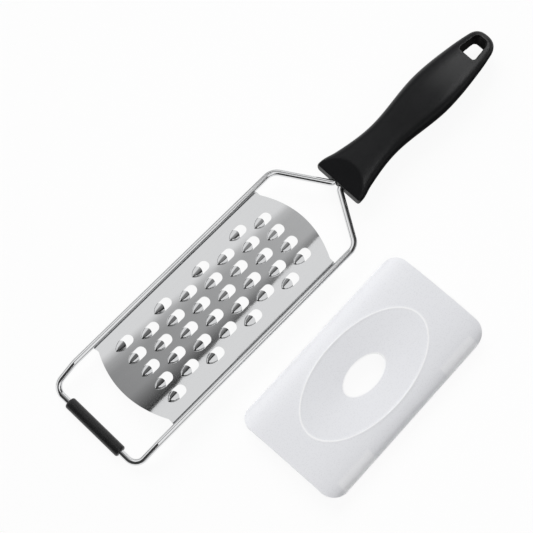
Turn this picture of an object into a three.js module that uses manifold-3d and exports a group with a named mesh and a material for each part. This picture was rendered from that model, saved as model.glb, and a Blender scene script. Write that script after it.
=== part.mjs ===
import * as THREE from 'three';
import { mergeVertices } from 'three/addons/utils/BufferGeometryUtils.js';
import Module from 'manifold-3d';

// A hand grater lying on a table, with its cover taken off and laid beside it.
// Millimetres, +Z up. X runs along the grater, from its foot to its hang hole. The origin is on the
// table, in the middle of the flat land under the handle's belly.

// Bent rod of the frame: bend radii are those of the centre line, legAngle is in degrees
const wireDiameter = 3.6;
const railSpacing = 62;
const railBendRadius = 8;
const legAngle = 57.8;
const legGap = 1.6;
const mouthBendRadius = 2.2;
const mouthLead = 0.1;
const tangDepth = 35;
const footReach = 15.8;
const footTaper = 0.6;
const dropBendRadius = 10;
const footCornerRadius = 4.5;

// Rubber sleeve on the foot bar
const sleeveWall = 1.25;
const sleeveSetback = 6.7;
const sleeveEndRadius = 1.2;
const sleeveClearance = 0.3;

// Plate: a slightly arched field, with steep strips down to flanges that lie under the rails
const sheetThickness = 0.8;
const plateLength = 121.4;
const plateSetback = 14.5;
const plateToDrop = 12.9;
const plateCrown = 2;
const fieldRise = 1.58;
const fieldInset = 2.6;
const endBow = 6.8;
const bowInset = 5.2;
const flangeInside = 1.9;
const flangeOutside = 1;
const weldGap = 0.3;

// Pressed teeth: a hollow dome that ends in a bowed cutting lip, and the hole in front of the lip
const domeLength = 6.5;
const domeWidth = 5.9;
const domeHeight = 1.3;
const domeFullness = 2.2;
const lipBow = 1.5;
const biteLength = 5.2;
const biteSide = 0.12;
const biteCorner = 2.6;
const columnGap = 2.45;
const columnMargin = 5;
const patternAhead = 1;
const rowGap = 3.86;
const rowMargin = 8.6;

// Handle: runs from its front face to its end, with the widths and heights between them
const lipRun = 4.3;
const flareRun = 8;
const neckRun = 22.7;
const backRun = 40.6;
const hipRun = 29.4;
const tailRun = 16.9;
const frontWidth = 31.4;
const lipWidth = 31;
const flareWidth = 26.6;
const waistWidth = 20.2;
const bellyWidth = 26.4;
const hipWidth = 21.1;
const tailWidth = 14.6;
const frontHeight = 16;
const waistHeight = 15.4;
const bellyHeight = 18.8;
const hipHeight = 14.4;
const tailHeight = 11.6;
const landDepth = 0.4;
const sectionPower = 2.5;
const frontEdgeRadius = 1;
const endRoundLength = 7;
const endRoundPower = 2.6;
const facetDepth = 12;
const mouthWall = 0.9;
const socketClearance = 0.3;
const hangHoleLength = 14.2;
const hangHoleNearWidth = 11.3;
const hangHoleFarWidth = 8.2;
const hangHoleCorner = 2.4;
const hangHoleEndWall = 4.9;

// Cover: a shell with round shoulders whose lips spring round the rails, and a dish with a thumb hole in
// its top, coverTurn is in degrees
const coverWall = 0.9;
const coverClearance = 0.3;
const coverGrip = 0.6;
const coverHeadroom = 0.5;
const coverPower = 3;
const coverOverhang = 1;
const coverCorner = 9;
const lipReach = 6;
const lipLength = 24;
const edgeRelief = 1.5;
const dishLength = 87;
const dishWidth = 46.5;
const dishDepth = 2.9;
const thumbHoleLength = 28;
const thumbHoleWidth = 15.5;
const coverTurn = 2;
const coverGap = 13.9;
const coverAhead = 26.9;

// How finely round surfaces are divided
const bendStep = THREE.MathUtils.degToRad(12);
const wireSides = 16;
const sleeveSides = 32;
const archSteps = 8;
const domeSides = 8;
const domeSteps = 3;
const cornerSteps = 4;
const biteSteps = 2;
const sectionSides = 36;
const bodyRings = 30;
const edgeRings = 3;
const endRings = 7;
const shoulderSteps = 40;
const ovalSteps = 24;

// Cutting solids run past what they cut by this much
const cutMargin = 2;
// Points closer than this are one point
const weldDistance = 1e-4;

// Places that follow from the sizes above
const wireRadius = wireDiameter / 2;
const railHeight = bellyHeight / 2 - landDepth;
const legSpacing = wireDiameter + legGap;
const frontX = -(lipRun + flareRun + neckRun + backRun);
const handleLength = lipRun + flareRun + neckRun + backRun + hipRun + tailRun;
const legSlope = THREE.MathUtils.degToRad(legAngle);
const mouthX = frontX - mouthLead - mouthBendRadius * Math.tan(legSlope / 2);
const legCornerX = mouthX - (railSpacing - legSpacing) / 2 / Math.tan(legSlope);
const plateEndX = legCornerX - plateSetback;
const plateStartX = plateEndX - plateLength;
const plateCentreX = (plateStartX + plateEndX) / 2;
const dropX = plateStartX - plateToDrop;
const footX = dropX - footReach;
const sleeveRadius = wireRadius + sleeveClearance + sleeveWall;
const footHeight = sleeveRadius;

const wasm = await Module();
wasm.setup();

// A closed geometry as a solid that can be joined and cut
function solid(geometry) {
  const bare = geometry.clone();
  bare.deleteAttribute('normal');
  bare.deleteAttribute('uv');
  const merged = mergeVertices(bare, weldDistance);
  const vertProperties = Float32Array.from(merged.attributes.position.array);
  const triVerts = Uint32Array.from(merged.index.array);
  return new wasm.Manifold(new wasm.Mesh({ numProp: 3, vertProperties, triVerts }));
}

// A solid as a geometry again
function surface(body) {
  const mesh = body.getMesh();
  const geometry = new THREE.BufferGeometry();
  geometry.setAttribute('position', new THREE.BufferAttribute(mesh.vertProperties, 3));
  geometry.setIndex(new THREE.BufferAttribute(mesh.triVerts, 1));
  geometry.computeVertexNormals();
  return geometry;
}

function box(low, high) {
  const size = high.clone().sub(low);
  const centre = high.clone().add(low).multiplyScalar(0.5);
  const geometry = new THREE.BoxGeometry(size.x, size.y, size.z);
  return solid(geometry.translate(centre.x, centre.y, centre.z));
}

// An outline in X and Y, raised from one height to another
function prismUp(outline, bottom, top, curveSegments) {
  const depth = top - bottom;
  const geometry = new THREE.ExtrudeGeometry(outline, { depth, bevelEnabled: false, curveSegments });
  return solid(geometry.translate(0, 0, bottom));
}

// A section in Y and Z, run along X from one place to another
function prismAlong(section, start, end, curveSegments) {
  const depth = end - start;
  const geometry = new THREE.ExtrudeGeometry(section, { depth, bevelEnabled: false, curveSegments });
  const across = new THREE.Vector3(0, 1, 0);
  const up = new THREE.Vector3(0, 0, 1);
  const along = new THREE.Vector3(1, 0, 0);
  geometry.applyMatrix4(new THREE.Matrix4().makeBasis(across, up, along));
  return solid(geometry.translate(start, 0, 0));
}

// A profile in X and Z, run across Y for a width about the middle
function prismAcross(profile, width) {
  const geometry = new THREE.ExtrudeGeometry(profile, { depth: width, bevelEnabled: false });
  return solid(geometry.rotateX(Math.PI / 2).translate(0, width / 2, 0));
}

// A closed outline through corner points, each corner rounded
function roundedOutline(corners, radius) {
  const outline = new THREE.Shape();
  corners.forEach((corner, index) => {
    const before = corners[(index + corners.length - 1) % corners.length];
    const after = corners[(index + 1) % corners.length];
    const from = before.clone().sub(corner).setLength(radius).add(corner);
    const to = after.clone().sub(corner).setLength(radius).add(corner);
    if (index === 0) {
      outline.moveTo(from.x, from.y);
    } else {
      outline.lineTo(from.x, from.y);
    }
    outline.quadraticCurveTo(corner.x, corner.y, to.x, to.y);
  });
  outline.closePath();
  return outline;
}

function ovalOutline(length, width) {
  return new THREE.Shape().absellipse(0, 0, length / 2, width / 2, 0, 2 * Math.PI);
}

// A closed skin over rings of points, with both ends filled
function loft(rings) {
  const count = rings[0].length;
  const points = rings.flat();
  const faces = [];
  for (let row = 0; row + 1 < rings.length; row += 1) {
    for (let index = 0; index < count; index += 1) {
      const here = row * count + index;
      const next = row * count + (index + 1) % count;
      faces.push(here, next, here + count, next, next + count, here + count);
    }
  }
  const lastRow = (rings.length - 1) * count;
  const firstCentre = points.push(ringCentre(rings[0])) - 1;
  const lastCentre = points.push(ringCentre(rings[rings.length - 1])) - 1;
  for (let index = 0; index < count; index += 1) {
    const next = (index + 1) % count;
    faces.push(firstCentre, next, index);
    faces.push(lastCentre, lastRow + index, lastRow + next);
  }
  const geometry = new THREE.BufferGeometry().setFromPoints(points);
  geometry.setIndex(faces);
  return geometry;
}

function ringCentre(ring) {
  const centre = new THREE.Vector3();
  ring.forEach((point) => centre.add(point));
  return centre.divideScalar(ring.length);
}

// The centre line of a bent rod, kept as the few points that a sweep needs: the ends of each straight
// run and short steps round each bend
class RodLine extends THREE.Curve {
  constructor(corners) {
    super();
    this.points = corners.flatMap((corner, index) => {
      if (corner.radius === 0) {
        return [corner.at];
      }
      return bendPoints(corners[index - 1].at, corner.at, corners[index + 1].at, corner.radius);
    });
  }

  getPoint(t) {
    const place = t * (this.points.length - 1);
    const index = Math.min(Math.floor(place), this.points.length - 2);
    return this.points[index].clone().lerp(this.points[index + 1], place - index);
  }

  getPointAt(u) {
    return this.getPoint(u);
  }

  getTangentAt(u) {
    return this.getTangent(u);
  }
}

function bendPoints(before, corner, after, radius) {
  const back = before.clone().sub(corner).normalize();
  const ahead = after.clone().sub(corner).normalize();
  const turn = Math.PI - back.angleTo(ahead);
  const reach = radius * Math.tan(turn / 2);
  const start = corner.clone().addScaledVector(back, reach);
  const toCentre = back.clone().add(ahead).setLength(radius / Math.cos(turn / 2));
  const centre = corner.clone().add(toCentre);
  const axis = back.clone().cross(ahead).normalize();
  const arm = start.sub(centre);
  const steps = Math.ceil(turn / bendStep);
  const points = [];
  for (let step = 0; step <= steps; step += 1) {
    const angle = -turn * step / steps;
    points.push(arm.clone().applyAxisAngle(axis, angle).add(centre));
  }
  return points;
}

// One rod: tang, leg, rail, foot bar, and back the same way on the other side
function makeWireFrame() {
  const legY = legSpacing / 2;
  const railY = railSpacing / 2;
  const side = [
    { at: new THREE.Vector3(frontX + tangDepth, legY, railHeight), radius: 0 },
    { at: new THREE.Vector3(mouthX, legY, railHeight), radius: mouthBendRadius },
    { at: new THREE.Vector3(legCornerX, railY, railHeight), radius: railBendRadius },
    { at: new THREE.Vector3(dropX, railY, railHeight), radius: dropBendRadius },
    { at: new THREE.Vector3(footX, railY - footTaper, footHeight), radius: footCornerRadius },
  ];
  const mirror = new THREE.Vector3(1, -1, 1);
  const otherSide = side.map(({ at, radius }) => ({ at: at.clone().multiply(mirror), radius }));
  const line = new RodLine([...side, ...otherSide.reverse()]);
  const section = new THREE.Shape().absarc(0, 0, wireRadius, 0, 2 * Math.PI);
  return new THREE.ExtrudeGeometry(section, {
    extrudePath: line,
    steps: line.points.length - 1,
    curveSegments: wireSides / 2,
  });
}

// A tube round the foot bar, with its outer ends rounded
function makeFootSleeve() {
  const bore = wireRadius + sleeveClearance;
  const half = railSpacing / 2 - footTaper - footCornerRadius - sleeveSetback;
  const endRadius = Math.min(sleeveEndRadius, sleeveWall);
  const shoulder = sleeveRadius - endRadius;
  const profile = new THREE.Shape();
  profile.moveTo(bore, half);
  profile.lineTo(bore, -half);
  profile.absarc(shoulder, endRadius - half, endRadius, -Math.PI / 2, 0);
  profile.absarc(shoulder, half - endRadius, endRadius, 0, Math.PI / 2);
  profile.closePath();
  const tube = new THREE.LatheGeometry(profile.getPoints(cornerSteps), sleeveSides);
  return tube.translate(footX, 0, footHeight);
}

// The field's arch passes through its two edges and its crown, the strips slope from there to the flanges
const fieldHalf = railSpacing / 2 - fieldInset;
const flangeHalf = railSpacing / 2 - flangeInside;
const plateHalf = railSpacing / 2 + flangeOutside;
const flangeTop = railHeight - wireRadius - weldGap;
const crownTop = railHeight + plateCrown;
const fieldEdgeTop = crownTop - fieldRise;
const archRadius = (fieldHalf ** 2 + fieldRise ** 2) / (2 * fieldRise);
const archCentreZ = crownTop - archRadius;

// The point under a bend of the sheet, one thickness below both of its sides, whose normals are given
function underBend(corner, firstNormal, secondNormal) {
  const depth = sheetThickness / Math.cos((firstNormal - secondNormal) / 2);
  const middle = (firstNormal + secondNormal) / 2;
  return new THREE.Vector2(Math.cos(middle), Math.sin(middle)).multiplyScalar(-depth).add(corner);
}

function plateSection() {
  const fieldCorner = new THREE.Vector2(fieldHalf, fieldEdgeTop);
  const flangeCorner = new THREE.Vector2(flangeHalf, flangeTop);
  const fieldNormal = Math.acos(fieldHalf / archRadius);
  const stripNormal = Math.atan2(flangeHalf - fieldHalf, fieldEdgeTop - flangeTop);
  const underField = underBend(fieldCorner, fieldNormal, stripNormal);
  const underFlange = underBend(flangeCorner, stripNormal, Math.PI / 2);
  const underAngle = Math.atan2(underField.y - archCentreZ, underField.x);
  const flangeBottom = flangeTop - sheetThickness;
  const section = new THREE.Shape();
  section.moveTo(plateHalf, flangeBottom);
  section.lineTo(plateHalf, flangeTop);
  section.lineTo(flangeHalf, flangeTop);
  section.absarc(0, archCentreZ, archRadius, fieldNormal, Math.PI - fieldNormal, false);
  section.lineTo(-flangeHalf, flangeTop);
  section.lineTo(-plateHalf, flangeTop);
  section.lineTo(-plateHalf, flangeBottom);
  section.lineTo(-underFlange.x, flangeBottom);
  section.absarc(0, archCentreZ, archRadius - sheetThickness, Math.PI - underAngle, underAngle, true);
  section.lineTo(underFlange.x, flangeBottom);
  section.closePath();
  return section;
}

// Both ends bow outwards between short straight corners
function plateOutline() {
  const bowHalf = railSpacing / 2 - bowInset;
  const bowRadius = (bowHalf ** 2 + endBow ** 2) / (2 * endBow);
  const bowAngle = Math.asin(bowHalf / bowRadius);
  const outline = new THREE.Shape();
  outline.moveTo(plateStartX, -plateHalf);
  outline.lineTo(plateEndX, -plateHalf);
  outline.absarc(plateEndX + endBow - bowRadius, 0, bowRadius, -bowAngle, bowAngle, false);
  outline.lineTo(plateEndX, plateHalf);
  outline.lineTo(plateStartX, plateHalf);
  const endCentre = plateStartX - endBow + bowRadius;
  outline.absarc(endCentre, 0, bowRadius, Math.PI - bowAngle, Math.PI + bowAngle, false);
  outline.closePath();
  return outline;
}

// A pointed round body lying along X, its widest end at the lip or past it
function ogive(length, halfWidth, height, past) {
  const curve = new THREE.QuadraticBezierCurve(
    new THREE.Vector2(0, 0),
    new THREE.Vector2(halfWidth, domeFullness),
    new THREE.Vector2(halfWidth, length),
  );
  const profile = curve.getPoints(domeSteps);
  profile.push(new THREE.Vector2(halfWidth, length + past));
  profile.push(new THREE.Vector2(0, length + past));
  const geometry = new THREE.LatheGeometry(profile, domeSides);
  geometry.rotateZ(-Math.PI / 2);
  return solid(geometry.translate(-length, 0, 0).scale(1, 1, height / halfWidth));
}

// What the press raises: the upper half of an ogive, rooted in the sheet
function toothDome() {
  const halfWidth = domeWidth / 2;
  const whole = ogive(domeLength, halfWidth, domeHeight, cutMargin);
  const low = new THREE.Vector3(-domeLength - cutMargin, -domeWidth, -sheetThickness / 2);
  const high = new THREE.Vector3(2 * cutMargin, domeWidth, domeHeight + cutMargin);
  return whole.intersect(box(low, high));
}

// What it cuts away: the hollow under the dome and the hole in front of the bowed lip
function toothCut() {
  const halfWidth = domeWidth / 2 - sheetThickness;
  const hollow = ogive(domeLength - sheetThickness, halfWidth, domeHeight - sheetThickness, cutMargin);
  const side = domeWidth / 2 + biteSide;
  const bite = new THREE.Shape();
  bite.moveTo(-lipBow, -side);
  bite.lineTo(biteLength - biteCorner, -side);
  bite.quadraticCurveTo(biteLength, -side, biteLength, 0);
  bite.quadraticCurveTo(biteLength, side, biteLength - biteCorner, side);
  bite.lineTo(-lipBow, side);
  bite.quadraticCurveTo(lipBow, 0, -lipBow, -side);
  bite.closePath();
  const low = -sheetThickness - cutMargin;
  return hollow.add(prismUp(bite, low, domeHeight + cutMargin, biteSteps));
}

// Places of the teeth on the arch: staggered columns, every second one a tooth shorter
function toothPlaces() {
  const toothLength = domeLength + biteLength;
  const columnPitch = toothLength + columnGap;
  const rowPitch = domeWidth + rowGap;
  const columnRoom = plateLength - 2 * columnMargin - toothLength;
  const columns = Math.floor(columnRoom / columnPitch) + 1;
  const rows = Math.floor(2 * (fieldHalf - rowMargin) / rowPitch) + 1;
  const middleLip = plateCentreX + patternAhead + (domeLength - biteLength) / 2;
  const places = [];
  for (let column = 0; column < columns; column += 1) {
    const x = middleLip + (column - (columns - 1) / 2) * columnPitch;
    const count = rows - column % 2;
    for (let row = 0; row < count; row += 1) {
      const angle = (row - (count - 1) / 2) * rowPitch / archRadius;
      const lift = new THREE.Matrix4().makeTranslation(x, 0, archRadius);
      const lean = new THREE.Matrix4().makeRotationX(angle);
      const drop = new THREE.Matrix4().makeTranslation(0, 0, archCentreZ);
      places.push(drop.multiply(lean).multiply(lift));
    }
  }
  return places;
}

function makeGratingPlate() {
  const run = endBow + cutMargin;
  const strip = prismAlong(plateSection(), plateStartX - run, plateEndX + run, archSteps);
  const trim = prismUp(plateOutline(), 0, crownTop + cutMargin, archSteps);
  const dome = surface(toothDome());
  const cut = surface(toothCut());
  let plate = strip.intersect(trim);
  toothPlaces().forEach((place) => {
    plate = plate.add(solid(dome.clone().applyMatrix4(place)));
    plate = plate.subtract(solid(cut.clone().applyMatrix4(place)));
  });
  return surface(plate);
}

// Smooth half sizes along the handle, at a distance from its front face
const handleStations = [0, lipRun, flareRun, neckRun, backRun, hipRun, tailRun];
const stationPlaces = handleStations.map((run, index) => {
  return handleStations.slice(0, index + 1).reduce((sum, part) => sum + part, 0);
});
const widths = [frontWidth, lipWidth, flareWidth, waistWidth, bellyWidth, hipWidth, tailWidth];
const widthCurve = new THREE.CubicInterpolant(stationPlaces, widths, 1);
const heightPlaces = [0, ...stationPlaces.slice(3)];
const heights = [frontHeight, waistHeight, bellyHeight, hipHeight, tailHeight];
const heightCurve = new THREE.CubicInterpolant(heightPlaces, heights, 1);

function handleHalves(distance) {
  return { y: widthCurve.evaluate(distance)[0] / 2, z: heightCurve.evaluate(distance)[0] / 2 };
}

// One rounded section of the handle: an inset draws it in at the front edge, a share at the rounded end
function handleRing(distance, inset, share) {
  const half = handleHalves(distance);
  const ring = [];
  for (let index = 0; index < sectionSides; index += 1) {
    const angle = 2 * Math.PI * index / sectionSides;
    const y = Math.sign(Math.cos(angle)) * Math.abs(Math.cos(angle)) ** (2 / sectionPower);
    const z = Math.sign(Math.sin(angle)) * Math.abs(Math.sin(angle)) ** (2 / sectionPower);
    const place = new THREE.Vector3(frontX + distance, 0, railHeight);
    ring.push(place.add(new THREE.Vector3(0, y * (half.y - inset) * share, z * (half.z - inset) * share)));
  }
  return ring;
}

function handleBody() {
  const rings = [];
  for (let step = 0; step < edgeRings; step += 1) {
    const angle = Math.PI / 2 * step / edgeRings;
    const distance = frontEdgeRadius * (1 - Math.cos(angle));
    rings.push(handleRing(distance, frontEdgeRadius * (1 - Math.sin(angle)), 1));
  }
  const bodyLength = handleLength - frontEdgeRadius - endRoundLength;
  for (let step = 0; step < bodyRings; step += 1) {
    rings.push(handleRing(frontEdgeRadius + bodyLength * step / bodyRings, 0, 1));
  }
  for (let step = 0; step < endRings; step += 1) {
    const reach = Math.sin(Math.PI / 2 * step / endRings);
    const share = (1 - reach ** endRoundPower) ** (1 / endRoundPower);
    rings.push(handleRing(handleLength - endRoundLength * (1 - reach), 0, share));
  }
  return solid(loft(rings));
}

// The wedge that leaves a sloped facet over the mouth: it clears the mouth's wall at the front face and
// meets the handle's crest at the facet's depth
function facetWedge(side) {
  const mouthHalf = wireRadius + socketClearance + mouthWall;
  const slope = (handleHalves(facetDepth).z - mouthHalf) / facetDepth;
  const startX = frontX - cutMargin;
  const endX = frontX + 2 * facetDepth;
  const startZ = railHeight + side * (mouthHalf - slope * cutMargin);
  const endZ = railHeight + side * (mouthHalf + slope * 2 * facetDepth);
  const profile = new THREE.Shape();
  profile.moveTo(startX, startZ);
  profile.lineTo(endX, endZ);
  profile.lineTo(startX, endZ);
  profile.closePath();
  return prismAcross(profile, frontWidth + 2 * cutMargin);
}

function tangSocket(side) {
  const radius = wireRadius + socketClearance;
  const length = tangDepth + socketClearance + cutMargin;
  const socket = new THREE.CylinderGeometry(radius, radius, length, wireSides);
  socket.rotateZ(Math.PI / 2);
  return solid(socket.translate(frontX - cutMargin + length / 2, side * legSpacing / 2, railHeight));
}

function hangHole() {
  const farX = frontX + handleLength - hangHoleEndWall;
  const nearX = farX - hangHoleLength;
  const corners = [
    new THREE.Vector2(nearX, -hangHoleNearWidth / 2),
    new THREE.Vector2(farX, -hangHoleFarWidth / 2),
    new THREE.Vector2(farX, hangHoleFarWidth / 2),
    new THREE.Vector2(nearX, hangHoleNearWidth / 2),
  ];
  const outline = roundedOutline(corners, hangHoleCorner);
  return prismUp(outline, -cutMargin, railHeight + bellyHeight, cornerSteps);
}

function makeHandle() {
  const belowLow = new THREE.Vector3(frontX, -bellyWidth, -bellyHeight);
  const belowHigh = new THREE.Vector3(frontX + handleLength, bellyWidth, 0);
  let handle = handleBody().subtract(box(belowLow, belowHigh)).subtract(hangHole());
  [1, -1].forEach((side) => {
    handle = handle.subtract(facetWedge(side)).subtract(tangSocket(side));
  });
  return surface(handle);
}

// Cover, in its own place: lips on z = 0, the rails' centre line at springHeight when it is clipped on
const coverInnerHalf = railSpacing / 2 + wireRadius - coverGrip / 2;
const coverOuterHalf = coverInnerHalf + coverWall;
const coverLength = plateLength + 2 * coverOverhang;
const springHeight = coverWall + coverClearance + wireRadius;
const coverInnerRise = plateCrown + domeHeight + coverHeadroom + dishDepth;
const coverOuterRise = coverInnerRise + coverWall;

// A section closed by a flat bottom and a round-shouldered top
function shoulderSection(half, bottom, rise) {
  const points = [new THREE.Vector2(-half, bottom), new THREE.Vector2(half, bottom)];
  for (let step = 0; step <= shoulderSteps; step += 1) {
    const angle = Math.PI * step / shoulderSteps;
    const y = Math.sign(Math.cos(angle)) * Math.abs(Math.cos(angle)) ** (2 / coverPower);
    const z = Math.sin(angle) ** (2 / coverPower);
    points.push(new THREE.Vector2(half * y, springHeight + rise * z));
  }
  return new THREE.Shape(points);
}

function coverTopAt(y) {
  const share = Math.abs(y) / coverOuterHalf;
  return springHeight + coverOuterRise * (1 - share ** coverPower) ** (1 / coverPower);
}

// What the dish leaves open: it widens from the thumb hole to an oval on the cover's top and runs on past
// it. Sunk by the wall, the same space shapes the underside.
function dishSpace(sunk) {
  const crest = springHeight + coverOuterRise;
  const holeRing = [];
  const pastRing = [];
  const topRing = [];
  for (let step = 0; step < 2 * ovalSteps; step += 1) {
    const angle = Math.PI * step / ovalSteps;
    const along = Math.cos(angle) / 2;
    const across = Math.sin(angle) / 2;
    const holeHeight = crest - dishDepth - sunk;
    const rimHeight = coverTopAt(dishWidth * across) - sunk;
    const hole = new THREE.Vector3(thumbHoleLength * along, thumbHoleWidth * across, holeHeight);
    const rim = new THREE.Vector3(dishLength * along, dishWidth * across, rimHeight);
    const past = rim.clone().sub(hole).setLength(cutMargin).add(rim);
    holeRing.push(hole);
    pastRing.push(past);
    topRing.push(new THREE.Vector3(past.x, past.y, crest + cutMargin));
  }
  return solid(loft([holeRing, pastRing, topRing]));
}

function makeBladeCover() {
  const halfLength = coverLength / 2;
  const top = springHeight + coverOuterRise + cutMargin;
  const corners = [
    new THREE.Vector2(-halfLength, -coverOuterHalf),
    new THREE.Vector2(halfLength, -coverOuterHalf),
    new THREE.Vector2(halfLength, coverOuterHalf),
    new THREE.Vector2(-halfLength, coverOuterHalf),
  ];
  const plan = prismUp(roundedOutline(corners, coverCorner), -cutMargin, top, cornerSteps);
  const pastEnd = halfLength + cutMargin;
  const outside = prismAlong(shoulderSection(coverOuterHalf, 0, coverOuterRise), -halfLength, halfLength);
  const inside = prismAlong(shoulderSection(coverInnerHalf, coverWall, coverInnerRise), -pastEnd, pastEnd);
  let cover = outside.subtract(dishSpace(0)).subtract(inside.subtract(dishSpace(coverWall))).intersect(plan);

  const lipEdge = coverOuterHalf - lipReach;
  const betweenLow = new THREE.Vector3(-pastEnd, -lipEdge, -cutMargin);
  const betweenHigh = new THREE.Vector3(pastEnd, lipEdge, coverWall + coverClearance);
  cover = cover.subtract(box(betweenLow, betweenHigh));

  const lipEnd = halfLength - coverCorner;
  const lipStart = lipEnd - lipLength;
  const reliefs = [[-pastEnd, -lipEnd], [-lipStart, lipStart], [lipEnd, pastEnd]];
  reliefs.forEach(([start, end]) => {
    const low = new THREE.Vector3(start, -coverOuterHalf - cutMargin, -cutMargin);
    const high = new THREE.Vector3(end, coverOuterHalf + cutMargin, edgeRelief);
    cover = cover.subtract(box(low, high));
  });
  const thumbHole = prismUp(ovalOutline(thumbHoleLength, thumbHoleWidth), -cutMargin, top, ovalSteps);
  return surface(cover.subtract(thumbHole));
}

const finishes = {
  polishedSteel: { color: 0xd6d8da, roughness: 0.12, metalness: 1 },
  satinSteel: { color: 0xc8cacb, roughness: 0.3, metalness: 1 },
  blackMoulding: { color: 0x222326, roughness: 0.6, metalness: 0 },
  blackRubber: { color: 0x161617, roughness: 0.8, metalness: 0 },
  milkyPlastic: { color: 0xe4e6ea, roughness: 0.35, metalness: 0 },
};

function piece(name, geometry, finish) {
  const mesh = new THREE.Mesh(geometry, new THREE.MeshStandardMaterial(finish));
  mesh.name = name;
  return mesh;
}

const coverTurnRadians = THREE.MathUtils.degToRad(coverTurn);
const coverReach = Math.cos(coverTurnRadians) * coverOuterHalf + Math.sin(coverTurnRadians) * coverLength / 2;
const cover = new THREE.Group();
cover.position.x = plateCentreX + coverAhead;
cover.position.y = -(railSpacing / 2 + wireRadius + coverGap + coverReach);
cover.rotation.z = coverTurnRadians;
cover.add(piece('blade_cover', makeBladeCover(), finishes.milkyPlastic));

const grater = new THREE.Group();
grater.add(piece('wire_frame', makeWireFrame(), finishes.polishedSteel));
grater.add(piece('grating_plate', makeGratingPlate(), finishes.satinSteel));
grater.add(piece('handle', makeHandle(), finishes.blackMoulding));
grater.add(piece('foot_sleeve', makeFootSleeve(), finishes.blackRubber));
grater.add(cover);

export default grater;
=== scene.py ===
# %% [markdown]
# # A flat hand grater and its cover
# The real object has five pieces: a bent steel rod, a sheet with pressed teeth under the rod, a black
# handle, a rubber sleeve on the foot and a milky cover that clips over the teeth.
# The measured CAD part is loaded first and stays as the fixed frame for everything else.
# Its solids are cut from coarse facets, which would show in polished steel. Its solids are cut from
# coarse facets, which would show in polished steel, so each piece is made again here with fine surfaces
# of the same sizes, and the CAD node is kept, hidden.

# %% Load the imported part
import math

import bpy
import numpy as np
from mathutils import Matrix, Vector
from mathutils.geometry import delaunay_2d_cdt
from mathutils.kdtree import KDTree


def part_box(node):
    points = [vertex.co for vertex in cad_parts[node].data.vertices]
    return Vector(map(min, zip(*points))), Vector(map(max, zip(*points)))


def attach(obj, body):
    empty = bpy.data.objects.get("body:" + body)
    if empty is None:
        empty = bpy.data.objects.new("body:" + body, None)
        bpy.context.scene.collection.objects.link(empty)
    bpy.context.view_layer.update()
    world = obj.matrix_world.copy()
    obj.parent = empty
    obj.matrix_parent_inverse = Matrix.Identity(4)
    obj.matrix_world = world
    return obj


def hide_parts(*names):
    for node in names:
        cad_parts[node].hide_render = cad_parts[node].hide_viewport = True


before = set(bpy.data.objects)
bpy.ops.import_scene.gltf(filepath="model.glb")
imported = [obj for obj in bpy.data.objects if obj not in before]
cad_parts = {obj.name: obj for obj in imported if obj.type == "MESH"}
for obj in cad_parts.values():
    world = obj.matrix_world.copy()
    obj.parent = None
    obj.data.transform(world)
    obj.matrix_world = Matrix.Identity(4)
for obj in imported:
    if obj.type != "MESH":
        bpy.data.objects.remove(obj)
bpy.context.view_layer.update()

MM = 0.001
for node_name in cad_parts:
    node_low, node_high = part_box(node_name)
    print(node_name, "spans", [round(side / MM, 1) for side in node_high - node_low], "mm")

# %% [markdown]
# ## Camera
# The photograph looks down on the table from a steep angle, with the grater running to the upper right.
# A camera could be aimed by eye, but here its turn, height and distance were solved from the straight
# rails and the foot bar, so they are typed in as they came out.

# %% Portrait camera
camera_turn = math.radians(-46.093)
camera_height = math.radians(71.797)
camera_distance = 877.4 * MM
camera_aim = Vector((-135.9, -4.58, 9.0)) * MM
focal_pixels = 1650
photo_pixels = 533

camera_right = Vector((math.cos(camera_turn), math.sin(camera_turn), 0))
camera_back = Vector((
    math.sin(camera_turn) * math.cos(camera_height),
    -math.cos(camera_turn) * math.cos(camera_height),
    math.sin(camera_height),
))
camera_up = camera_back.cross(camera_right)
lens = bpy.data.cameras.new("portrait_lens")
lens.sensor_width = 36
lens.lens = lens.sensor_width * focal_pixels / photo_pixels
camera = bpy.data.objects.new("portrait_camera", lens)
camera_axes = Matrix((camera_right, camera_up, camera_back)).transposed().to_4x4()
camera.matrix_world = Matrix.Translation(camera_aim + camera_back * camera_distance) @ camera_axes
bpy.context.scene.collection.objects.link(camera)
bpy.context.scene.camera = camera
print("camera at", [round(value / MM) for value in camera.location], "mm, lens", round(lens.lens, 1), "mm")

# %% [markdown]
# ## Small helpers for meshes
# Every piece below ends as one mesh in the CAD frame. Points are worked out in millimetres, because that
# is how the object was measured, and turned to metres in one place.

# %% Mesh helpers
def place_mesh(name, points, faces, sharp=()):
    """A smooth-shaded object from points in millimetres; sharp lists the edges that stay crisp."""
    mesh = bpy.data.meshes.new(name)
    mesh.from_pydata((np.asarray(points) * MM).tolist(), [], [tuple(map(int, face)) for face in faces])
    mesh.update(calc_edges=True)
    mesh.shade_smooth()
    crisp = {tuple(sorted(map(int, edge))) for edge in sharp}
    for edge in mesh.edges:
        edge.use_edge_sharp = tuple(sorted(edge.vertices)) in crisp
    made = bpy.data.objects.new(name, mesh)
    bpy.context.scene.collection.objects.link(made)
    return made


def ring_faces(rows, count, closed_rows=False):
    """Quads between rows of points that each close on themselves."""
    faces = []
    for row in range(rows if closed_rows else rows - 1):
        here = row * count
        after = (row + 1) % rows * count
        for step in range(count):
            turn = (step + 1) % count
            faces.append((here + step, here + turn, after + turn, after + step))
    return faces


def settle(piece):
    """Bake a piece's modifiers into its mesh."""
    graph = bpy.context.evaluated_depsgraph_get()
    baked = bpy.data.meshes.new_from_object(piece.evaluated_get(graph))
    piece.modifiers.clear()
    piece.data = baked
    return piece


def face_count(piece):
    return len(piece.data.polygons)

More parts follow.
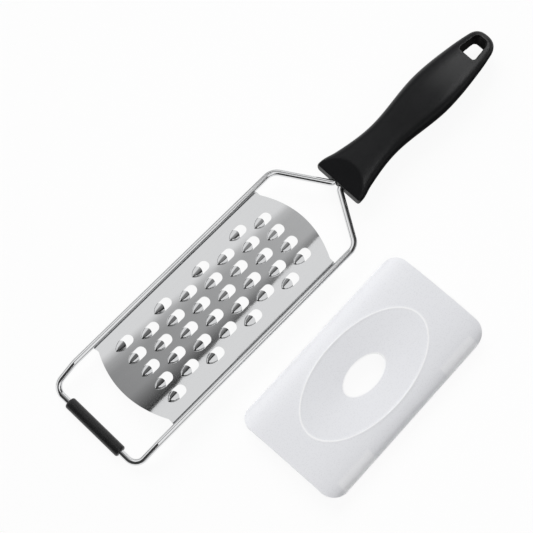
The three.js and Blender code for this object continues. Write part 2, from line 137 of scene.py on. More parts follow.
# %% [markdown]
# ## The bent rod
# One polished steel rod makes the whole frame: two rails, a foot that drops to the table, and two legs
# that close in on the handle and run into it. A curve with a round bevel gives the same shape, but a
# tube swept along the bends keeps full control of the ring directions, so polished steel shows no twist.
# First the corners of its centre line, then round bends between straight runs.

# %% Corners of the rod's centre line
rod_radius = 1.8
rail_half = 31.0
rail_height = 9.0
foot_height = 3.35
foot_taper = 0.6
leg_half = 2.6
leg_angle = math.radians(57.8)
mouth_lead = 0.1
tang_depth = 35
plate_setback = 14.5
plate_length = 121.4
plate_to_drop = 12.9
foot_reach = 15.8
mouth_bend, rail_bend, drop_bend, foot_bend = 2.2, 8, 10, 6.5

front_x = -75.6
mouth_x = front_x - mouth_lead - mouth_bend * math.tan(leg_angle / 2)
leg_corner_x = mouth_x - (rail_half - leg_half) / math.tan(leg_angle)
plate_end_x = leg_corner_x - plate_setback
plate_start_x = plate_end_x - plate_length
plate_middle_x = (plate_start_x + plate_end_x) / 2
drop_x = plate_start_x - plate_to_drop
foot_x = drop_x - foot_reach
half_corners = [
    (front_x + tang_depth, leg_half, rail_height, 0),
    (mouth_x, leg_half, rail_height, mouth_bend),
    (leg_corner_x, rail_half, rail_height, rail_bend),
    (drop_x, rail_half, rail_height, drop_bend),
    (foot_x, rail_half - foot_taper, foot_height, foot_bend),
]
rod_corners = half_corners + [(x, -y, z, bend) for x, y, z, bend in reversed(half_corners)]
print("rod has", len(rod_corners), "corners, and its foot lies at x", round(foot_x, 1), "mm")

# %% Round bends between the straight runs
def bent_path(corners, step=math.radians(3)):
    """Straight runs joined by round bends; each corner is x, y, z and its bend radius."""
    places = [Vector(corner[:3]) for corner in corners]
    path = [places[0]]
    for index in range(1, len(corners) - 1):
        radius = corners[index][3]
        arriving = (places[index] - places[index - 1]).normalized()
        leaving = (places[index + 1] - places[index]).normalized()
        turn = arriving.angle(leaving)
        start = places[index] - arriving * radius * math.tan(turn / 2)
        inward = (leaving - arriving * math.cos(turn)).normalized()
        count = max(2, math.ceil(turn / step))
        for part in range(count + 1):
            angle = turn * part / count
            path.append(start + inward * radius * (1 - math.cos(angle)) + arriving * radius * math.sin(angle))
    return path + [places[-1]]


rod_path = bent_path(rod_corners)
rod_length = sum((after - here).length for here, after in zip(rod_path, rod_path[1:]))
print("rod is", round(rod_length), "mm long, with", len(rod_path), "points")

# %% Sweep a round section along the line
rod_sides = 40


def swept_rod(path, radius, sides):
    """Rings square to the path; each ring's directions follow on from the ring before."""
    points = []
    aside = Vector((0, 0, 1))
    for index, place in enumerate(path):
        before = path[max(index - 1, 0)]
        after = path[min(index + 1, len(path) - 1)]
        ahead = (after - before).normalized()
        aside = (aside - ahead * aside.dot(ahead)).normalized()
        other = ahead.cross(aside)
        for step in range(sides):
            angle = 2 * math.pi * step / sides
            points.append(place + (aside * math.cos(angle) + other * math.sin(angle)) * radius)
    faces = [face[::-1] for face in ring_faces(len(path), sides)]
    faces.append(tuple(range(sides)))
    faces.append(tuple(reversed(range((len(path) - 1) * sides, len(path) * sides))))
    return [tuple(point) for point in points], faces


rod_points, rod_faces = swept_rod(rod_path, rod_radius, rod_sides)
bent_rod = place_mesh("bent_rod", rod_points, rod_faces)
print("bent rod has", face_count(bent_rod), "faces")

# %% [markdown]
# ## A helper for thin sheets
# The toothed sheet and the cover are both thin walls with holes. Booleans on solids would leave ragged
# slivers that polished metal shows at once. It is cleaner to draw the outline and the holes flat, fill
# them with triangles, carry every point onto the curved surface and then add the wall underneath.

# %% Fill a flat outline with triangles
def inside_loop(points, loop):
    """Which points lie inside a closed loop, by counting the edges to their right."""
    inside = np.zeros(len(points), bool)
    x, y = points[:, 0], points[:, 1]
    for (x0, y0), (x1, y1) in zip(loop, np.roll(loop, -1, axis=0)):
        if y0 == y1:
            continue
        crosses = (y0 > y) != (y1 > y)
        inside ^= crosses & (x < (x1 - x0) * (y - y0) / (y1 - y0) + x0)
    return inside


def spaced(points, others, clear):
    """The points that keep a clear distance from all the others."""
    nearest = KDTree(len(others))
    for index, (x, y) in enumerate(others):
        nearest.insert((x, y, 0), index)
    nearest.balance()
    return np.array([point for point in points if nearest.find((point[0], point[1], 0))[2] > clear])


def leave_holes(free, points, holes):
    """Take the points that lie in a hole out of a mask."""
    for hole in holes:
        near = free & (np.abs(points - hole.mean(axis=0)).max(axis=1) < np.ptp(hole, axis=0).max())
        free[near] &= ~inside_loop(points[near], hole)
    return free


def fill_outline(loops, seed_sets):
    """Triangles inside the first loop and outside the others; seed sets come with their clear distance."""
    kept = np.vstack(loops)
    edges = []
    for loop in loops:
        first = len(edges)
        edges += [(first + step, first + (step + 1) % len(loop)) for step in range(len(loop))]
    for seeds, clear in seed_sets:
        free = leave_holes(inside_loop(seeds, loops[0]), seeds, loops[1:])
        kept = np.vstack([kept, spaced(seeds[free], kept, clear)])
    result = delaunay_2d_cdt([Vector(point) for point in kept], edges, [], 0, 1e-6)
    flat = np.array([tuple(point) for point in result[0]])
    triangles = np.array([face for face in result[2] if len(face) == 3])
    middles = flat[triangles].mean(axis=1)
    return flat, triangles[leave_holes(inside_loop(middles, loops[0]), middles, loops[1:])]

# %% Carry the triangles onto a surface and add the wall
def surface_normals(lift, flat, step=0.03):
    along = lift(flat + (step, 0)) - lift(flat - (step, 0))
    across = lift(flat + (0, step)) - lift(flat - (0, step))
    normals = np.cross(along, across)
    return normals / np.linalg.norm(normals, axis=1, keepdims=True)


def thin_sheet(name, loops, seed_sets, lift_top, lift_under):
    """A sheet whose two faces are given as functions that carry flat points into place."""
    flat, triangles = fill_outline(loops, seed_sets)
    top, under = lift_top(flat), lift_under(flat)
    count = len(flat)
    directed = {(int(a), int(b)) for tri in triangles for a, b in zip(tri, np.roll(tri, -1))}
    rim = [(a, b) for a, b in directed if (b, a) not in directed]
    faces = list(triangles) + [tri[::-1] + count for tri in triangles]
    faces += [(b, a, a + count, b + count) for a, b in sorted(rim)]
    sharp = rim + [(a + count, b + count) for a, b in rim]
    return place_mesh(name, np.vstack([top, under]), faces, sharp)


def curve_points(start, control, end, count):
    """Points on a bend drawn with one control point, without its last point."""
    share = np.arange(count)[:, None] / count
    start, control, end = map(np.array, (start, control, end))
    return start * (1 - share) ** 2 + 2 * control * share * (1 - share) + end * share ** 2


def straight_points(start, end, spacing):
    """Points along a straight line, without its last point."""
    start, end = np.array(start, float), np.array(end, float)
    count = max(1, round(np.linalg.norm(end - start) / spacing))
    return start + (end - start) * np.arange(count)[:, None] / count

# %% [markdown]
# ## The toothed sheet
# The sheet is stainless steel with a slightly arched field, a steep strip down each long side and a
# flat flange that lies under the rail. Its section is walked off from the middle outwards: each stretch
# has a length and a slope at its start and end, so every bend is a true arc of the sheet.

# %% Section of the sheet
sheet_wall = 0.8
field_radius = 256.03
field_half = 28.85
strip_foot = 28.95
crown_height = 11.0
flange_top = 6.9
sheet_half = 32.0
sheet_bend = 0.4
bow_half = 25.8
field_slope = math.asin(field_half / field_radius)
field_edge_height = crown_height - field_radius * (1 - math.cos(field_slope))
strip_slope = math.atan2(field_edge_height - flange_top, strip_foot - field_half)
strip_length = (field_edge_height - flange_top) / math.sin(strip_slope)
upper_take = sheet_bend * math.tan((strip_slope - field_slope) / 2)
lower_take = sheet_bend * math.tan(strip_slope / 2)
field_take = field_radius * field_slope - upper_take
flange_start = strip_foot + lower_take
sheet_stretches = [
    (field_take, 0, field_take / field_radius),
    (sheet_bend * (strip_slope - field_slope), field_take / field_radius, strip_slope),
    (strip_length - upper_take - lower_take, strip_slope, strip_slope),
    (sheet_bend * strip_slope, strip_slope, 0),
    (sheet_half - flange_start, 0, 0),
]


def walk_section(stretches, start_height, step=0.02):
    """Distance walked, y and z along a section that starts level in the middle and falls away."""
    slopes = []
    for length, first, last in stretches:
        count = max(2, round(length / step))
        middles = (np.arange(count) + 0.5) / count
        slopes.append(np.column_stack([np.full(count, length / count), first + (last - first) * middles]))
    slopes = np.vstack(slopes)
    walked = np.concatenate([[0], np.cumsum(slopes[:, 0])])
    y = np.concatenate([[0], np.cumsum(slopes[:, 0] * np.cos(slopes[:, 1]))])
    z = start_height - np.concatenate([[0], np.cumsum(slopes[:, 0] * np.sin(slopes[:, 1]))])
    return walked, y, z


sheet_walk, sheet_y, sheet_z = walk_section(sheet_stretches, crown_height)
sheet_reach = sheet_walk[-1]
bow_reach = float(np.interp(bow_half, sheet_y, sheet_walk))
print("half section", round(sheet_reach, 2), "mm walked, flange edge at y", round(sheet_y[-1], 2),
      "z", round(sheet_z[-1], 2))

# %% [markdown]
# ### Pressed teeth
# Each tooth is a small pointed nib pushed up from below and bitten open on the handle side: a short nose,
# a narrow ridge that climbs to the lip, two gentle flanks and a steep wall round them. Polished flanks
# mirror one part of the room each, so they must be flat, with crisp creases between them. The nib is
# only a height added to the sheet, the smallest of nose, roof and wall, and the bite is a hole in the
# flat outline. Underneath, the press leaves a plain rounded hollow.

# %% Sizes and places of the teeth
tooth_length = 6.5
tooth_half = 2.95
tooth_height = 1.3
tooth_fullness = 2.2
nose_slope = 0.35
ridge_slope = 0.165
ridge_share = 0.32
flank_slope = 0.176
wall_slope = 8.0
crease = 0.03
bite_length = 5.2
bite_half = tooth_half + 0.12
bite_corner = 3.0
lip_bow = 1.5
column_count = 8
column_pitch = 14.15
row_pitch = 9.76
pattern_ahead = 1
pattern_middle = plate_middle_x + pattern_ahead + (tooth_length - bite_length) / 2
first_lip_x = pattern_middle - (column_count - 1) / 2 * column_pitch

tooth_places = []
for column in range(column_count):
    teeth = 5 if column % 2 == 0 else 4
    for row in range(teeth):
        tooth_places.append((first_lip_x + column * column_pitch, (row - (teeth - 1) / 2) * row_pitch))
tooth_places = np.array(tooth_places)
print(len(tooth_places), "teeth, lips", round(tooth_height, 1), "mm above the field")

# %% Height of a nib over the sheet
def tooth_half_width(from_tip):
    """Half width of a nib at a distance from its tip."""
    bend = tooth_length - 2 * tooth_fullness
    inner = np.clip(tooth_fullness ** 2 + bend * from_tip, 0, None)
    share = np.clip((np.sqrt(inner) - tooth_fullness) / bend, 0, 1)
    return tooth_half * (2 * share - share ** 2)


def soft_least(first, second):
    """The smaller of two heights, with the crease between them slightly rounded."""
    gap = first - second
    return (first + second - np.sqrt(gap ** 2 + 4 * crease ** 2)) / 2


def ridge_height(from_tip):
    return tooth_height - ridge_slope * (tooth_length - from_tip)


def nib_height(from_tip, aside):
    """Height of a nib at a distance from its tip and beside its middle line."""
    half = tooth_half_width(from_tip)
    past_ridge = -soft_least(0, ridge_share * half - aside)
    roof = ridge_height(from_tip) - flank_slope * past_ridge
    blunt = soft_least(roof, nose_slope * from_tip)
    return np.where(aside < half, np.clip(soft_least(blunt, wall_slope * (half - aside)), 0, None), 0)


def hollow_height(from_tip, aside):
    half = np.maximum(tooth_half_width(from_tip), 1e-6)
    return tooth_height * half / tooth_half * np.sqrt(np.clip(1 - (aside / half) ** 2, 0, None))


lip_top = float(nib_height(np.array([tooth_length]), np.zeros(1))[0])
print("a nib is", round(lip_top, 2), "mm high at its lip")

# %% Carry flat points onto the sheet
def raised(flat, height):
    """What all the teeth together add at flat points, for one kind of height."""
    rise = np.zeros(len(flat))
    for lip_x, middle in tooth_places:
        from_tip = flat[:, 0] - lip_x + tooth_length
        aside = np.abs(flat[:, 1] - middle)
        near = (from_tip > 0) & (from_tip < tooth_length + 2) & (aside < tooth_half)
        rise[near] = height(from_tip[near], aside[near])
    return rise


def lift_section(flat, rise, probe=0.05):
    """Flat points carried onto the sheet's section and moved out from it by a rise."""
    walked = np.abs(flat[:, 1])
    side = np.sign(flat[:, 1])
    y = np.interp(walked, sheet_walk, sheet_y)
    z = np.interp(walked, sheet_walk, sheet_z)
    ahead, behind = walked + probe, walked - probe
    run = np.interp(ahead, sheet_walk, sheet_y) - np.interp(behind, sheet_walk, sheet_y)
    fall = np.interp(ahead, sheet_walk, sheet_z) - np.interp(behind, sheet_walk, sheet_z)
    size = np.maximum(np.hypot(run, fall), 1e-9)
    return np.column_stack([flat[:, 0], side * (y - rise * fall / size), z + rise * run / size])


def lift_sheet(flat):
    return lift_section(flat, raised(flat, nib_height))


def lift_sheet_under(flat):
    return lift_section(flat, raised(flat, hollow_height) - sheet_wall)


edge_height = float(lift_sheet(np.array([(plate_middle_x, sheet_reach)]))[0, 2])
print("the sheet's edge is carried to z", round(edge_height, 2), "mm")

# %% Outlines of the sheet and of a bite
end_bow = 6.8
bow_points = 49
strip_step = 0.35
sheet_edge_step = 2
bite_step = 0.7
bite_turn_points = 19
bite_squareness = 0.9
lip_points = 28


def sheet_outline():
    bow_share = np.linspace(-1, 1, bow_points)
    bow = np.column_stack([end_bow * (1 - bow_share ** 2), bow_share * bow_reach])
    strip = np.arange(bow_reach + strip_step, sheet_reach, strip_step)
    half = np.vstack([
        straight_points((plate_start_x, -sheet_reach), (plate_end_x, -sheet_reach), sheet_edge_step),
        np.column_stack([np.full(len(strip), plate_end_x), -strip[::-1]]),
        bow + (plate_end_x, 0),
        np.column_stack([np.full(len(strip), plate_end_x), strip]),
    ])
    return np.vstack([half, np.column_stack([2 * plate_middle_x - half[:, 0], -half[:, 1]])])


def bite_outline():
    tail = bite_length - bite_corner
    turn = np.linspace(-math.pi / 2, math.pi / 2, bite_turn_points)[:-1]
    return np.vstack([
        straight_points((-lip_bow, -bite_half), (tail, -bite_half), bite_step),
        np.column_stack([tail + bite_corner * np.cos(turn) ** bite_squareness, bite_half * np.sin(turn)]),
        straight_points((tail, bite_half), (-lip_bow, bite_half), bite_step),
        curve_points((-lip_bow, bite_half), (lip_bow, 0), (-lip_bow, -bite_half), lip_points),
    ])


sheet_loops = [sheet_outline()] + [bite_outline() + place for place in tooth_places]
print("sheet has", len(sheet_loops) - 1, "bites and an edge of", len(sheet_loops[0]), "points")

# %% Points that follow the creases of a nib
nose_rows = 6
climb_rows = 15
row_margin = 0.2
beside_crease = 0.12
ridge_room = 1.2
guard_steps = (0.02, 0.12, 0.45)
tip_rings = (0.08, 0.25, 0.55)


def tooth_seeds():
    """Rows across a nib with a point on each side of every crease, and guard rows on the flat outside."""
    seeds = [(-tooth_length, 0)]
    nose_end = (tooth_height - ridge_slope * tooth_length) / (nose_slope - ridge_slope)
    nose = np.linspace(row_margin, nose_end - beside_crease, nose_rows)
    climb = np.linspace(nose_end + beside_crease, tooth_length + row_margin, climb_rows)
    for from_tip in np.concatenate([nose, climb]):
        half = float(tooth_half_width(np.array([from_tip]))[0])
        ridge = ridge_share * half
        top = min(ridge_height(from_tip), nose_slope * from_tip)
        wall_top = (wall_slope * half - top - flank_slope * ridge) / (wall_slope - flank_slope)
        asides = [0, wall_top - 0.03, wall_top + 0.02, half - 0.01]
        if half > ridge_room:
            flank = wall_top - ridge
            asides += [ridge - 0.1, ridge + 0.1, ridge + flank / 3, ridge + flank * 2 / 3]
        for aside in asides + [half + step for step in guard_steps]:
            seeds += [(from_tip - tooth_length, aside), (from_tip - tooth_length, -aside)]
    for reach in tip_rings:
        for angle in np.radians(np.arange(90, 271, 30)):
            seeds.append((-tooth_length + reach * math.cos(angle), reach * math.sin(angle)))
    return np.unique(np.round(seeds, 5), axis=0)


tooth_points = np.vstack([tooth_seeds() + place for place in tooth_places])
print("teeth have", len(tooth_points), "points to fill with")

# %% Fill the sheet and carry it into place
field_lines = np.arange(-field_take, field_take + 0.1, field_take / 15)
bend_lines = np.arange(field_take - 0.2, sheet_reach, 0.2)
line_x = np.arange(plate_start_x - end_bow, plate_end_x + end_bow, 1.7)
field_points = np.array([(x, y) for x in line_x for y in field_lines])
bend_points = np.array([(x, side * y) for x in line_x for y in bend_lines for side in (1, -1)])
sheet_seeds = [(tooth_points, 0.08), (bend_points, 0.15), (field_points, 0.8)]
toothed_sheet = thin_sheet("toothed_sheet", sheet_loops, sheet_seeds, lift_sheet, lift_sheet_under)
print("toothed sheet has", face_count(toothed_sheet), "faces")

# %% [markdown]
# ## The milky cover
# The cover is a thin moulding with round shoulders. Four short lips at its lower edges turn in to clip
# round the rails, and a shallow oval dish leads the thumb to an oval hole. It is drawn with the same
# sheet helper: the lips are tabs of the flat outline, and the section simply turns in under itself.

# %% Section of the cover
cover_wall = 0.9
cover_half = 33.4
cover_length = 123.4
spring_height = 3.0
cover_rise = 7.6
cover_power = 3
cover_corner = 9.0
lip_reach = 6.0
lip_length = 24.0
relief_height = 1.5
lip_bend = 1.15

shoulder_count = 400
shoulder_angle = np.linspace(math.pi / 2, 0, shoulder_count)
shoulder_y = cover_half * np.cos(shoulder_angle) ** (2 / cover_power)
shoulder_z = spring_height + cover_rise * np.sin(shoulder_angle) ** (2 / cover_power)
turn_angle = np.linspace(0, math.pi / 2, 24)[1:]
turn_y = cover_half - lip_bend * (1 - np.cos(turn_angle))
turn_z = lip_bend * (1 - np.sin(turn_angle))
cover_y = np.concatenate([shoulder_y, [cover_half], turn_y, [cover_half - lip_reach]])
cover_z = np.concatenate([shoulder_z, [lip_bend], turn_z, [0]])
cover_walk = np.concatenate([[0], np.cumsum(np.hypot(np.diff(cover_y), np.diff(cover_z)))])
shoulder_reach = cover_walk[shoulder_count - 1]
relief_reach = shoulder_reach + spring_height - relief_height
cover_reach = cover_walk[-1]
print("cover's half section is", round(cover_reach, 1), "mm, its crest at", round(cover_z[0], 1), "mm")

# %% The oval dish round the thumb hole
dish_half = np.array([43.5, 23.25])
hole_half = np.array([14.0, 7.75])
dish_depth = 2.9
bead_height = 0.25
bead_width = 0.4


def dish_place(x, y):
    """Share of the way from the hole's edge (0) to the dish's rim (1), by halving, and the direction."""
    least, most, halvings = -0.45, 3.0, 40
    low, high = np.full(len(x), least), np.full(len(x), most)
    for _ in range(halvings):
        share = (low + high) / 2
        reach = hole_half[None] + share[:, None] * (dish_half - hole_half)[None]
        beyond = (x / reach[:, 0]) ** 2 + (y / reach[:, 1]) ** 2 > 1
        low, high = np.where(beyond, share, low), np.where(beyond, high, share)
    return share, np.arctan2(y / reach[:, 1], x / reach[:, 0])


def lift_cover_flat(flat):
    walked = np.abs(flat[:, 1])
    x = flat[:, 0]
    y = np.sign(flat[:, 1]) * np.interp(walked, cover_walk, cover_y)
    z = np.interp(walked, cover_walk, cover_z)
    share, angle = dish_place(x, y)
    rim_y = np.abs(dish_half[1] * np.sin(angle)) / cover_half
    rim_z = spring_height + cover_rise * (1 - rim_y ** cover_power) ** (1 / cover_power)
    hole_z = spring_height + cover_rise - dish_depth
    on_top = walked < shoulder_reach
    z = np.where(on_top & (share < 1), hole_z + (rim_z - hole_z) * share, z)
    dish_run = np.hypot(*((dish_half - hole_half) * np.column_stack([np.cos(angle), np.sin(angle)])).T)
    bead = bead_height * np.exp(-((share - 1) * dish_run / bead_width) ** 2)
    return np.column_stack([x, y, z + np.where(on_top, bead, 0)])


cover_low, cover_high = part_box("blade_cover")
cover_middle = (cover_low + cover_high) / 2 / MM
cover_turn = math.radians(2)


def lift_cover(flat):
    here = lift_cover_flat(flat)
    x = math.cos(cover_turn) * here[:, 0] - math.sin(cover_turn) * here[:, 1] + cover_middle.x
    y = math.sin(cover_turn) * here[:, 0] + math.cos(cover_turn) * here[:, 1] + cover_middle.y
    return np.column_stack([x, y, here[:, 2]])


def lift_cover_under(flat):
    return lift_cover(flat) - cover_wall * surface_normals(lift_cover, flat)


print("cover lies with its middle at", [round(value, 1) for value in cover_middle], "mm")

# %% Outline of the cover with its lips
def cover_end(y):
    """How far the cover reaches lengthwise at a distance from its middle line."""
    into = np.clip(np.abs(y) - (cover_half - cover_corner), 0, cover_corner)
    return cover_length / 2 - cover_corner + np.sqrt(cover_corner ** 2 - into ** 2)


lip_ease = 1.5
edge_spacing = 1.5


def cover_outline():
    """The near edge with two tabs for lips, an end, and the same again turned round."""
    lip_end = cover_length / 2 - cover_corner
    lip_start = lip_end - lip_length
    tip = -cover_reach
    root = tip + lip_ease
    tab = np.vstack([
        straight_points((lip_start, -relief_reach), (lip_start, root), 0.5),
        curve_points((lip_start, root), (lip_start, tip), (lip_start + lip_ease, tip), 5),
        straight_points((lip_start + lip_ease, tip), (lip_end - lip_ease, tip), edge_spacing),
        curve_points((lip_end - lip_ease, tip), (lip_end, tip), (lip_end, root), 5),
        straight_points((lip_end, root), (lip_end, -relief_reach), 0.5),
    ])
    walked = np.concatenate([
        np.linspace(-relief_reach, -shoulder_reach, 6)[:-1],
        np.linspace(-shoulder_reach, shoulder_reach, 120),
        np.linspace(shoulder_reach, relief_reach, 6)[1:-1],
    ])
    end = np.column_stack([cover_end(np.interp(np.abs(walked), cover_walk, cover_y)), walked])
    return np.vstack([
        straight_points((-lip_start, -relief_reach), (lip_start, -relief_reach), edge_spacing),
        tab,
        end,
        (tab * (1, -1))[::-1],
        straight_points((lip_start, relief_reach), (-lip_start, relief_reach), edge_spacing)[1:],
        tab * (-1, -1),
        end * (-1, -1),
        (tab * (-1, 1))[::-1],
    ])


cover_edge = cover_outline()
print("cover's outline has", len(cover_edge), "points")

# %% Rings and rows of points to fill with
def oval(share, count):
    """A ring round the thumb hole; share 0 is the hole's edge and 1 the rim of the dish."""
    reach = hole_half + share * (dish_half - hole_half)
    angle = 2 * math.pi * (np.arange(count) + 0.5 * (round(share * 40) % 2)) / count
    y = reach[1] * np.sin(angle)
    walked = np.interp(np.abs(y), cover_y[:shoulder_count], cover_walk[:shoulder_count])
    return np.column_stack([reach[0] * np.cos(angle), np.sign(y) * walked])


cover_loops = [cover_edge, oval(0, 72)]
dish_shares, rim_shares, beyond_shares = (0.03, 0.9, 14), (0.94, 1.06, 9), (1.1, 1.3, 4)
ring_shares = np.concatenate([np.linspace(*shares) for shares in (dish_shares, rim_shares, beyond_shares)])
ring_points = np.vstack([oval(share, 150) for share in ring_shares])
top_half = 24
wall_lines = np.concatenate([
    np.linspace(top_half, shoulder_reach, 24),
    np.linspace(shoulder_reach, cover_reach, 22),
])
cover_x = np.arange(-cover_length / 2, cover_length / 2, 1.6)
wall_points = np.array([(x, side * y) for x in cover_x for y in wall_lines for side in (1, -1)])
top_points = np.array([(x, y) for x in cover_x for y in np.arange(-top_half, top_half + 0.1, 1.6)])
cover_seeds = [(ring_points, 0.2), (wall_points, 0.25), (top_points, 0.9)]
clip_cover = thin_sheet("clip_cover", cover_loops, cover_seeds, lift_cover, lift_cover_under)
print("clip cover has", face_count(clip_cover), "faces")

# %% [markdown]
# ## The handle
# The handle is one black moulding: flared at the front, waisted, full at the belly and narrow at the
# tail, with sloped facets over the mouth where the rod goes in and a hang hole through the tail. It
# could be modelled as a subdivided box. A loft through measured widths and heights is closer, and the
# facets and holes are then cut, remeshed in small voxels and smoothed so that every edge is softly moulded.

# %% Widths and heights along the handle
handle_places = np.cumsum([0, 4.3, 8, 22.7, 40.6, 29.4, 16.9])
handle_widths = np.array([31.4, 31, 26.6, 20.2, 26.4, 21.1, 14.6])
height_places = handle_places[[0, 3, 4, 5, 6]]
handle_heights = np.array([16, 15.4, 18.8, 14.4, 11.6])
handle_length = handle_places[-1]


def smooth_value(places, values, at):
    """A smooth curve through the measured values, straight at its two ends."""
    right = int(np.clip(np.searchsorted(places, at, side="right"), 1, len(places) - 1))
    left = right - 1
    before = left - 1 if left > 0 else right
    after = right + 1 if right + 1 < len(places) else left
    gap = (places[right] - places[left]) / 2
    weight_before = gap / (places[left] - places[before])
    weight_after = gap / (places[after] - places[right])
    p = (at - places[left]) / (places[right] - places[left])
    return (
        values[before] * (-weight_before * p ** 3 + 2 * weight_before * p ** 2 - weight_before * p)
        + values[left] * ((1 + weight_before) * p ** 3 - (1.5 + 2 * weight_before) * p ** 2
                          + (weight_before - 0.5) * p + 1)
        + values[right] * (-(1 + weight_after) * p ** 3 + (1.5 + weight_after) * p ** 2 + 0.5 * p)
        + values[after] * (weight_after * p ** 3 - weight_after * p ** 2)
    )


def handle_halves(distance):
    width = smooth_value(handle_places, handle_widths, distance)
    return width / 2, smooth_value(height_places, handle_heights, distance) / 2


print("handle halves at the belly", [round(float(half), 2) for half in handle_halves(-front_x)], "mm")

# %% Loft the handle
handle_sides = 96
handle_power = 2.5
front_edge = 1.0
end_round = 7.0
end_power = 2.6
front_rings, body_rings, end_rings = 6, 120, 24


def handle_ring(distance, inset, share):
    half_y, half_z = handle_halves(distance)
    angle = 2 * math.pi * np.arange(handle_sides) / handle_sides
    y = np.sign(np.cos(angle)) * np.abs(np.cos(angle)) ** (2 / handle_power)
    z = np.sign(np.sin(angle)) * np.abs(np.sin(angle)) ** (2 / handle_power)
    return np.column_stack([
        np.full(handle_sides, front_x + distance),
        y * (half_y - inset) * share,
        rail_height + z * (half_z - inset) * share,
    ])


handle_rings = []
for step in range(front_rings):
    angle = math.pi / 2 * step / front_rings
    setback = front_edge * (1 - math.cos(angle))
    handle_rings.append(handle_ring(setback, front_edge * (1 - math.sin(angle)), 1))
for distance in np.linspace(front_edge, handle_length - end_round, body_rings, endpoint=False):
    handle_rings.append(handle_ring(distance, 0, 1))
for step in range(end_rings):
    reach = math.sin(math.pi / 2 * step / end_rings)
    share = (1 - reach ** end_power) ** (1 / end_power)
    handle_rings.append(handle_ring(handle_length - end_round * (1 - reach), 0, share))
handle_faces = ring_faces(len(handle_rings), handle_sides)
handle_faces.append(tuple(reversed(range(handle_sides))))
last_ring = (len(handle_rings) - 1) * handle_sides
handle_faces.append(tuple(range(last_ring, last_ring + handle_sides)))
grip = place_mesh("grip", np.vstack(handle_rings), handle_faces)
print("lofted handle has", face_count(grip), "faces")

# %% Blocks to cut with
def prism(name, outline, low, high, axis):
    """A straight block over a flat outline; axis 2 stands it up, axis 1 lays it across, axis 0 along."""
    count = len(outline)
    points = []
    for level in (low, high):
        for first, second in outline:
            corner = [first, second]
            corner.insert(axis, level)
            points.append(corner)
    faces = ring_faces(2, count) + [tuple(reversed(range(count))), tuple(range(count, 2 * count))]
    if axis == 1:
        faces = [tuple(reversed(face)) for face in faces]
    return place_mesh(name, points, faces)


def round_outline(corners, take, count):
    """A closed outline whose corners are eased over the same distance."""
    corners = [np.array(corner, float) for corner in corners]
    pieces = []
    for before, corner, after in zip(corners[-1:] + corners[:-1], corners, corners[1:] + corners[:1]):
        arrive = corner + (before - corner) / np.linalg.norm(before - corner) * take
        leave = corner + (after - corner) / np.linalg.norm(after - corner) * take
        pieces.append(np.vstack([curve_points(arrive, corner, leave, count), leave]))
    return np.vstack(pieces)


def circle(centre, radius, count):
    angle = 2 * math.pi * np.arange(count) / count
    return np.column_stack([centre[0] + radius * np.cos(angle), centre[1] + radius * np.sin(angle)])

# %% Cut the facets, the land, the sockets and the hang hole
socket_gap = 0.3
socket_radius = rod_radius + 0.2
mouth_wall = 0.9
mouth_half = rod_radius + socket_gap + mouth_wall
facet_depth = 12.0
hang_length = 14.2
hang_near_half = 5.65
hang_far_half = 4.1
hang_corner = 2.4
hang_end_wall = 4.9
overcut = 1
facet_slope = (handle_halves(facet_depth)[1] - mouth_half) / facet_depth
facet_far = front_x + 2 * facet_depth
cutters = []
for side in (1, -1):
    low_z = rail_height + side * (mouth_half - facet_slope)
    high_z = rail_height + side * (mouth_half + facet_slope * 2 * facet_depth)
    wedge = [(front_x - overcut, low_z), (facet_far, high_z), (front_x - overcut, high_z)]
    cutters.append(prism("facet_cut", wedge if side > 0 else wedge[::-1], -20, 20, 1))
    socket = circle((side * leg_half, rail_height), socket_radius, 40)
    cutters.append(prism("socket_cut", socket, front_x - overcut, front_x + (tang_depth + socket_gap), 0))
cutters.append(prism("land_cut", [(-60, -14), (40, -14), (40, 14), (-60, 14)], -9, 0, 2))
hang_far = front_x + handle_length - hang_end_wall
hang_near = hang_far - hang_length
hang_outline = [
    (hang_near, -hang_near_half), (hang_far, -hang_far_half),
    (hang_far, hang_far_half), (hang_near, hang_near_half),
]
cutters.append(prism("hang_cut", round_outline(hang_outline, hang_corner, 8), -3, 24, 2))
for cutter in cutters:
    cut = grip.modifiers.new(cutter.name, "BOOLEAN")
    cut.operation = "DIFFERENCE"
    cut.solver = "EXACT"
    cut.object = cutter
settle(grip)
for cutter in cutters:
    bpy.data.objects.remove(cutter)
print("cut handle has", face_count(grip), "faces")

# %% Soften every edge as a mould does
voxels = grip.modifiers.new("fine_voxels", "REMESH")
voxels.mode = "VOXEL"
voxels.voxel_size = 0.4 * MM
voxels.use_smooth_shade = True
soften = grip.modifiers.new("soft_edges", "SMOOTH")
soften.factor = 0.5
soften.iterations = 4
settle(grip)
print("moulded handle has", face_count(grip), "faces")

# %% [markdown]
# ## The rubber sleeve
# A short tube of black rubber is pushed over the foot bar so that the grater doesn't slip on a bowl or
# a table. A turned profile gives its rounded ends, a straight body and the bore round the rod.

# %% Turn the sleeve
sleeve_half = 19.2
sleeve_radius = 3.35
sleeve_round = 1.2
sleeve_sides = 72
barrel_rows = 11
bore_radius = rod_radius + 0.02
bore_mouth = rod_radius + 0.12
bore_flare = 0.3

